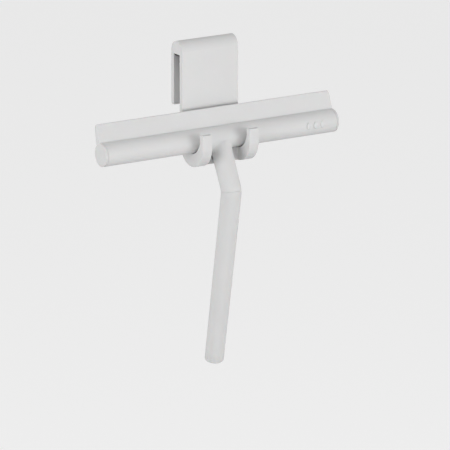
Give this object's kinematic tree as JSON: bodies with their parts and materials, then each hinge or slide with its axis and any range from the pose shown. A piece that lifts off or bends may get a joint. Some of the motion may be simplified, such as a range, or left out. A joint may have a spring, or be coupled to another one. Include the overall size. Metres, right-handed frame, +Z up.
{
  "type": "shower squeegee with over-glass hanger",
  "caption": "Silicone-covered squeegee with a tapered blade and bent round handle, resting in the two-hook cradle of a hanger that clips over a glass edge.",
  "frame": {"origin": "centre of the slot pad's underside, which stands on the top edge of the glass", "axes": "+Z up, +X along the glass, +Y from the user's side through the glass"},
  "size_m": [0.24, 0.0638, 0.2955],
  "materials": {
    "silicone": "matte, soft-touch, pale grey silicone",
    "blade_silicone": "smooth satin, pale grey silicone",
    "pad_rubber": "matte dark grey rubber",
    "spring_steel": "rolled strip",
    "tube_steel": "drawn tube",
    "screw_steel": "zinc plated",
    "brass": "turned"
  },
  "bodies": {
    "hanger": {"hanger_cover": "silicone", "hanger_core": "spring_steel", "rear_leg_cap": "silicone", "slot_pad": "pad_rubber"},
    "squeegee": {"head_cover": "silicone", "head_core": "tube_steel", "wiper_blade": "blade_silicone", "end_cap_left": "silicone", "end_cap_right": "silicone", "saddle_washer": "tube_steel", "neck_screw": "screw_steel", "threaded_insert": "brass", "handle_core": "tube_steel", "neck_grip": "silicone", "lower_grip": "silicone", "handle_end_plug": "silicone"}
  },
  "joints": [
    {"name": "squeegee_lift", "type": "slide", "parent": "hanger", "child": "squeegee", "axis": [0, 0, 1], "range_m": [0, 0.032]}
  ]
}
